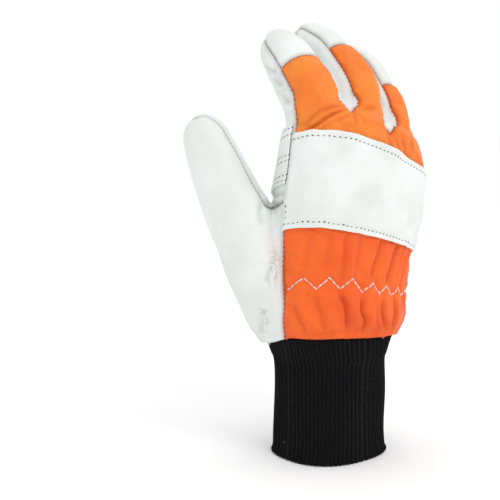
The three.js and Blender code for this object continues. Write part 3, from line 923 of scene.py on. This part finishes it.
def seamLines(first, second):  # the seam between two panels as ordered lines on the skin
    pair = sorted([panelNames.index(first), panelNames.index(second)])
    links = {}
    for i, j in seams[(sides == pair).all(1)].tolist():
        links.setdefault(i, []).append(j)
        links.setdefault(j, []).append(i)
    found, seen = [], set()
    for start in sorted(links, key=lambda i: len(links[i])):
        if start in seen:
            continue
        line = [start]
        seen.add(start)
        while True:
            ways = [n for n in links[line[-1]] if n not in seen]
            if not ways:
                break
            seen.add(ways[0])
            line.append(ways[0])
        if len(line) > stitchSettings["shortest"]:
            spots = points[line]
            for _ in range(stitchSettings["rounds"]):
                spots[1:-1] = (spots[:-2] + spots[1:-1] + spots[2:]) / 3
            found.append((spots, skinNormals[line]))
    return found


cuffSettings = {
    "length": 66, "width": 64, "depth": 57, "wall": 2.4, "tuck": 9, "skin": 2.3,
    "girths": [[0, 1.03], [0.10, 0.99], [0.50, 0.98], [0.80, 0.98], [0.89, 1.03]],
    "ribs": 74, "perRib": 6, "ribHeight": 0.5, "slack": 0.7, "clear": 0.8, "rolled": 5,
    "steps": [(0, 1, 14), (1, 4, 34), (4, 7, 22)],  # from one ring to another, and how many
}


def cuffRings():  # rings of the knit from its open end to where it is tucked in, without its ribs
    s = cuffSettings
    count = s["ribs"] * s["perRib"]
    angles = np.arange(count) * 360 / count
    rings = []
    for up, girth in s["girths"]:
        half = np.array([[s["width"]] * 2 + [s["depth"]] * 2]) / 2 * girth
        frame = {"origin": np.array([[0, 0, up * s["length"]]]), "right": np.array([[1.0, 0, 0]]),
                 "palm": np.array([[0, 1.0, 0]]), "sides": half}
        rings.append(pointsOn(repeated(frame, count), angles))
    for up in (0.002, s["tuck"] / 2, s["tuck"]):
        frame = repeated(handFrames(up / handForm["handLength"]), count)
        rings.append(pointsOn(frame, angles, -s["skin"] - s["clear"]))
    return np.array(rings)


def smoothAlong(rings, at):  # a smooth curve through the rings
    last = len(rings) - 1
    i = min(int(at), last - 1)
    t = at - i
    p0, p1, p2, p3 = rings[max(i - 1, 0)], rings[i], rings[i + 1], rings[min(i + 2, last)]
    return 0.5 * (2 * p1 + (p2 - p0) * t + (2 * p0 - 5 * p1 + 4 * p2 - p3) * t ** 2
                  + (3 * p1 - p0 - 3 * p2 + p3) * t ** 3)


def makeCuff():
    s, keys = cuffSettings, cuffRings()
    count = keys.shape[1]
    angle = np.arange(count) * 2 * math.pi / count
    steps = np.unique(np.concatenate([np.linspace(*step) for step in s["steps"]]))
    outerRings = []
    for at in steps:
        ring = smoothAlong(keys, at)
        out = ring - ring.mean(0)
        out[:, 2] = 0
        out = unit(out)
        up = ring[:, 2]
        tightness = 1 - 0.6 * np.clip((at - 4.5) / 1.5, 0, 1)
        rib = np.cos(angle * s["ribs"] + 0.25 * np.sin(up / 19 + angle))
        rib = np.sign(rib) * np.abs(rib) ** 0.7 * s["ribHeight"] * tightness
        slack = np.sin(angle * 3 + up / 14) * np.sin(up / 21 + 0.6) + 0.5 * np.sin(angle * 5 - up / 17)
        slack *= s["slack"] * tightness * np.clip(up / 12, 0, 1)
        outerRings.append((ring + out * (rib + slack)[:, None], out))
    wall, upward = s["wall"], np.array([0, 0, 1.0])
    rings = []
    ring, out = outerRings[0]
    for k in range(s["rolled"]):  # the rolled edge at the open end
        turn = math.pi * (0.5 - k / s["rolled"])
        rings.append(ring - out * wall / 2 * (1 + math.sin(turn)) + upward * wall / 2 * (1 - math.cos(turn)))
    rings += [ring + upward * wall / 2 * (i == 0) for i, (ring, _) in enumerate(outerRings)]
    rings += [ring - out * wall for ring, out in reversed(outerRings)]
    rings[-1] = rings[-1] + upward * wall / 2
    cells = []
    for r in range(len(rings)):
        low, high = r * count, (r + 1) % len(rings) * count
        for i in range(count):
            j = (i + 1) % count
            cells.append((low + i, low + j, high + j, high + i))
    piece = newPiece("cuff_knit", np.concatenate(rings), cells)
    standIn(piece, "cuff")
    return piece


print("cuff")
cuff = makeCuff()


def colourOf(hexColour):  # an sRGB hex value as the linear colour that a shader takes
    parts = [int(hexColour[i:i + 2], 16) / 255 for i in (1, 3, 5)]
    return tuple(c / 12.92 if c <= 0.04045 else ((c + 0.055) / 1.055) ** 2.4 for c in parts) + (1.0,)


def fill(material, node, values):  # links the sockets and sets the other values
    for key, value in values.items():
        if isinstance(value, bpy.types.NodeSocket):
            material.node_tree.links.new(value, node.inputs[key])
        elif isinstance(key, int) or key in node.inputs:
            node.inputs[key].default_value = value
        else:
            setattr(node, key, value)
    return node


def addNode(material, kind, values):
    return fill(material, material.node_tree.nodes.new(kind), values)


def newMaterial(name, values=None):  # the material, and places on the piece to draw its textures by
    material = bpy.data.materials.new(name)
    material.use_nodes = True
    setShader(material, values or {})
    return material, addNode(material, "ShaderNodeTexCoord", {}).outputs["Object"]


def setShader(material, values):
    fill(material, material.node_tree.nodes["Principled BSDF"], values)


def noise(material, place, size, **settings):  # the size of its spots is in millimetres, as in all below
    values = {"Vector": place, "Scale": 1000 / size, **settings}
    return addNode(material, "ShaderNodeTexNoise", values).outputs["Fac"]


def bands(material, place, size, way, **settings):
    values = {"wave_type": "BANDS", "bands_direction": way, "Vector": place,
              "Scale": 1000 / size / math.pi, **settings}
    return addNode(material, "ShaderNodeTexWave", values).outputs["Fac"]


def pebbles(material, place, size):
    values = {"Vector": place, "Scale": 1000 / size}
    return addNode(material, "ShaderNodeTexVoronoi", values).outputs["Distance"]


def rampOf(material, source, stops):
    ramp = addNode(material, "ShaderNodeValToRGB", {"Fac": source})
    for element, (place, colour) in zip(ramp.color_ramp.elements, stops):
        element.position, element.color = place, colour
    return ramp.outputs["Color"]


def spread(material, value, **limits):
    values = {key.replace("_", " "): limit for key, limit in limits.items()}
    return addNode(material, "ShaderNodeMapRange", {"Value": value, **values}).outputs[0]


def times(material, first, second):
    return addNode(material, "ShaderNodeMath", {"operation": "MULTIPLY", 0: first, 1: second}).outputs[0]


def mix(material, share, base, other):
    return addNode(material, "ShaderNodeMix", {"data_type": "RGBA", 0: share, 6: base, 7: other}).outputs[2]


def written(material, name):  # what is written on the piece's points
    return addNode(material, "ShaderNodeAttribute", {"attribute_name": name}).outputs["Fac"]


def relieved(material, reliefs):  # the normal after each relief in turn: its pattern, strength and height
    normal = {}
    for pattern, strength, height in reliefs:
        values = {"Height": pattern, "Strength": strength, "Distance": height * mm, **normal}
        normal = {"Normal": addNode(material, "ShaderNodeBump", values).outputs["Normal"]}
    return normal["Normal"]


# seam is the colour of the painted shade laid on the leather: along the seams, where it is partly grime, in
# the fold creases and in the wrinkle lines
leatherSettings = {
    "light": "#E2E7E5", "dark": "#DADFDC", "seam": "#A8A69F", "seamShade": 0.55, "tone": 30, "grain": 1.5,
    "crease": 5.0, "grainHeight": 0.10, "creaseHeight": 0.35, "roughness": (0.46, 0.62),
    "wrinkle": 8.0, "wrinkleDepth": 0.4, "wrinkleShade": 0.22,
}


def whiteGoatskin():  # drum-dyed goatskin: a matt pebbled grain with soft pull creases
    s = leatherSettings
    material, place = newMaterial("whiteGoatskin", {"IOR": 1.45})
    tone = noise(material, place, s["tone"], Detail=3.0)
    colour = rampOf(material, tone, [(0.38, colourOf(s["dark"])), (0.58, colourOf(s["light"]))])
    # darker along the seams, partly grime and partly painted shade in the seam valleys, and painted shade in
    # the fold creases
    seamGrimeAndShade = times(material, written(material, "seam"), s["seamShade"])
    lines = noise(material, place, s["wrinkle"], Detail=5.0, Roughness=0.65, Distortion=2.5)
    fold = spread(material, lines, From_Min=0.50, From_Max=0.42)
    fold = times(material, fold, written(material, "wrinkled"))
    for shadow in (seamGrimeAndShade, times(material, fold, s["wrinkleShade"])):
        colour = mix(material, shadow, colour, colourOf(s["seam"]))
    grain = pebbles(material, place, s["grain"])
    crease = noise(material, place, s["crease"], Detail=4.0, Roughness=0.6, Distortion=0.8)
    low, high = s["roughness"]
    setShader(material, {
        "Base Color": colour, "Roughness": spread(material, crease, To_Min=low, To_Max=high),
        "Normal": relieved(material, [(crease, 0.5, s["creaseHeight"]), (fold, 0.8, -s["wrinkleDepth"]),
                                      (grain, 0.5, s["grainHeight"])])})
    return material


# the light and dark tones each come as a shaded lower and a lit upper colour, blended between the heights in
# fade: painted light, the fabric lighter and yellower higher up where the light falls from above; seam is the
# colour of the painted shade along the seams, partly grime, and in the fold creases
fabricSettings = {
    "light": ("#EE641B", "#EE842B"), "dark": ("#E45415", "#E87423"), "fade": (0.150, 0.180),
    "seam": "#B5360E", "seamShade": 0.6, "sheen": "#FFC9A0", "tone": 30, "thread": 1.1,
    "threadHeight": 0.10, "rumple": 6.0, "rumpleHeight": 0.35, "roughness": (0.42, 0.58),
}


def orangeNylon():  # plain-woven nylon: fine crossed threads, drawn twice as coarse so they show
    s = fabricSettings
    material, place = newMaterial("orangeNylon", {
        "IOR": 1.5, "Specular IOR Level": 0.3, "Sheen Weight": 0.05, "Sheen Roughness": 0.4,
        "Sheen Tint": colourOf(s["sheen"])})
    tone = noise(material, place, s["tone"], Detail=2.0)
    # painted light: a shaded lower colour blends into a lit, yellower upper colour with height
    height = addNode(material, "ShaderNodeSeparateXYZ", {"Vector": place}).outputs["Z"]
    fade = spread(material, height, From_Min=s["fade"][0], From_Max=s["fade"][1])
    shadedLower, litUpper = (rampOf(material, tone, [(0.36, colourOf(dark)), (0.62, colourOf(light))])
                    for dark, light in zip(s["dark"], s["light"]))
    # darker along the seams, partly grime and partly painted shade, and painted shade in the fold creases
    seamGrimeAndShade = times(material, written(material, "seam"), s["seamShade"])
    rumple = noise(material, place, s["rumple"], Detail=3.0)
    threads = [bands(material, place, s["thread"], way, Distortion=0.6, Detail=1.0) for way in ("X", "Z")]
    reliefs = [(rumple, 0.4, s["rumpleHeight"])] + [(thread, 0.35, s["threadHeight"]) for thread in threads]
    low, high = s["roughness"]
    setShader(material, {
        "Base Color": mix(material, seamGrimeAndShade, mix(material, fade, shadedLower, litUpper), colourOf(s["seam"])),
        "Roughness": spread(material, rumple, To_Min=low, To_Max=high),
        "Normal": relieved(material, reliefs)})
    return material


knitSettings = {
    "light": "#151517", "dark": "#070708", "fuzz": 0.9, "fuzzHeight": 0.2, "loop": 1.7, "loopHeight": 0.3,
    "lint": 9.0, "lintShare": 0.026, "lintColour": "#A8A8AC",
}


def blackRibKnit():  # ribbed elastic yarn: matt and a little fuzzy, with a few specks of lint
    s = knitSettings
    material, place = newMaterial("blackRibKnit", {
        "Roughness": 0.9, "IOR": 1.45, "Specular IOR Level": 0.08, "Sheen Weight": 0.03,
        "Sheen Roughness": 0.6})
    fuzz = noise(material, place, s["fuzz"], Detail=2.0)
    colour = rampOf(material, fuzz, [(0.35, colourOf(s["dark"])), (0.7, colourOf(s["light"]))])
    speck = addNode(material, "ShaderNodeMath", {
        "operation": "LESS_THAN", 0: pebbles(material, place, s["lint"]), 1: s["lintShare"]}).outputs[0]
    loops = bands(material, place, s["loop"], "Z", **{"Distortion": 1.5, "Detail": 2.0, "Detail Scale": 2.0})
    setShader(material, {
        "Base Color": mix(material, speck, colour, colourOf(s["lintColour"])),
        "Normal": relieved(material, [(loops, 0.6, s["loopHeight"]), (fuzz, 0.5, s["fuzzHeight"])])})
    return material


threadSettings = {
    "twist": 0.5, "twistHeight": 0.05, "shade": 0.72,
    "whiteThread": ("#F6F3EC", 0.5), "shadedThread": ("#8E877C", 0.7),
    # the needle hole colour is painted shade, for the dark discs that stand for the shade in the holes
    "orangeThread": ("#D8481C", 0.5), "needleHoleShade": ("#2B241F", 0.9),
}


def sewingThread(name):  # twisted polyester: a slight silky gloss and a fine twist
    s = threadSettings
    hexColour, roughness = s[name]
    material, place = newMaterial(name, {"Roughness": roughness, "IOR": 1.5})
    twist = noise(material, place, s["twist"], Detail=1.0)
    light = colourOf(hexColour)
    dark = tuple(c * s["shade"] for c in light[:3]) + (1.0,)
    setShader(material, {
        "Base Color": rampOf(material, twist, [(0.3, dark), (0.6, light)]),
        "Normal": relieved(material, [(twist, 0.3, s["twistHeight"])])})
    return material


print("materials")
leather, fabric, knit = whiteGoatskin(), orangeNylon(), blackRibKnit()
softPieces = {**panels, "knuckle_strap": strap, "palm_patch": patch, "cuff": cuff}
slots = {"back_fabric": (fabric, "fabric"), "cuff": (knit, "knit")}  # all the others are leather
for name, piece in softPieces.items():
    material, slot = slots.get(name, (leather, "leather"))
    piece.data.materials.append(material)
whiteThread, shadedThread, orangeThread, needleHoleShade = (
    sewingThread(name) for name in ("whiteThread", "shadedThread", "orangeThread", "needleHoleShade"))

zigzagSettings = {"gap": 0.5, "lift": 0.1, "step": 0.5, "ends": (1.2, 1)}


def zigzagLines():  # two threads side by side, up and down over the back
    s = zigzagSettings
    angles, lengths = backAngles()
    along = np.arange(s["ends"][0], lengths[-1] - s["ends"][1], s["step"])
    spots, outs = layOnSkin(zigzagUp(along), np.interp(along, lengths, angles))
    return [(spots + outs * s["lift"] + np.array([0, 0, side * s["gap"] / 2]), outs) for side in (-1, 1)]


print("stitches")
gussets = {name: name.split("_")[1:] for name in panelNames if name.startswith("gusset")}
tips = ["tip_" + name for name in fingerNames]
leatherPairs = [("palm_leather", name) for name in ["thumb_leather"] + tips + list(gussets)]
leatherPairs += [("tip_" + finger, name) for name, pair in gussets.items() for finger in pair]
leatherSeams = [line for pair in leatherPairs for line in seamLines(*pair)]
backSeams = [line for name in panelNames[3:] + ["palm_leather"] for line in seamLines("back_fabric", name)]
stitchPieces = [
    makeStitches("strap_stitches", strapLines, "band", whiteThread),
    # the needle hole discs are painted shade: dark spots where the holes' shade falls
    makeStitches("strap_needle_hole_shade", strapLines, "band", needleHoleShade, holeShadeRings),
    makeStitches("patch_stitches", patchLines, "band", whiteThread),
    makeStitches("patch_needle_hole_shade", patchLines, "band", needleHoleShade, holeShadeRings),
    makeStitches("zigzag_stitches", zigzagLines(), "zigzag", whiteThread),
    makeStitches("leather_seam_stitches", leatherSeams, "leatherSeam", shadedThread),
    makeStitches("back_seam_stitches", backSeams, "backSeam", orangeThread),
]


sheetSizes = {  # each cut panel: the width and length of its blank and its own area, in metres
    "palm_leather": (0.170, 0.250, 0.0235),
    "tip_index": (0.030, 0.034, 0.0008), "tip_middle": (0.028, 0.034, 0.0008),
    "tip_ring": (0.030, 0.042, 0.0010), "tip_little": (0.028, 0.037, 0.0008),
    "gusset_index_middle": (0.022, 0.150, 0.0023), "gusset_middle_ring": (0.022, 0.140, 0.0021),
    "gusset_ring_little": (0.020, 0.100, 0.0012), "thumb_leather": (0.090, 0.160, 0.0065),
    "knuckle_strap": (0.048, 0.136, 0.0063), "palm_patch": (0.031, 0.140, 0.0042),
    "cuff": (0.250, 0.082, 0.0195),
}


def faceArea(piece):  # of one side of a sheet
    return sum(p.area for p in piece.data.polygons) / 2


for name, (width, length, area) in sheetSizes.items():
    print(name, "area", round(faceArea(softPieces[name]), 5), "cut", area)
for piece in list(softPieces.values()) + stitchPieces:
    print(piece.name, "triangles", sum(len(p.vertices) - 2 for p in piece.data.polygons))

print("floor, light and camera")
stageSettings = {
    "floor": "#FFFFFF", "floorSize": 8, "floorAt": (0, 0, -0.0004), "sky": 1.0, "lightsMeet": (0, 0, 0.12),
    "lights": {"keyLight": (-0.1, -0.8, 1.1, 0.4, 3.0), "sideLight": (0.9, -0.5, 0.5, 0.6, 0.6)},
}
bpy.context.scene.view_settings.view_transform = "Standard"
bpy.ops.mesh.primitive_plane_add(size=stageSettings["floorSize"], location=stageSettings["floorAt"])
floor = bpy.context.object
floor.name = "floor"
paper, _ = newMaterial("paperFloor", {"Roughness": 0.9, "Base Color": colourOf(stageSettings["floor"])})
floor.data.materials.append(paper)
placeCamera()
world = bpy.data.worlds.new("studio")
bpy.context.scene.world = world
world.use_nodes = True
world.node_tree.nodes["Background"].inputs["Color"].default_value = (1, 1, 1, 1)
world.node_tree.nodes["Background"].inputs["Strength"].default_value = stageSettings["sky"]
for name, (x, y, z, size, power) in stageSettings["lights"].items():
    bpy.ops.object.light_add(type="AREA", location=(x, y, z))
    light = bpy.context.object
    light.name = name
    light.data.size, light.data.energy = size, power
    way = Vector(stageSettings["lightsMeet"]) - light.location
    light.rotation_euler = way.to_track_quat("-Z", "Y").to_euler()
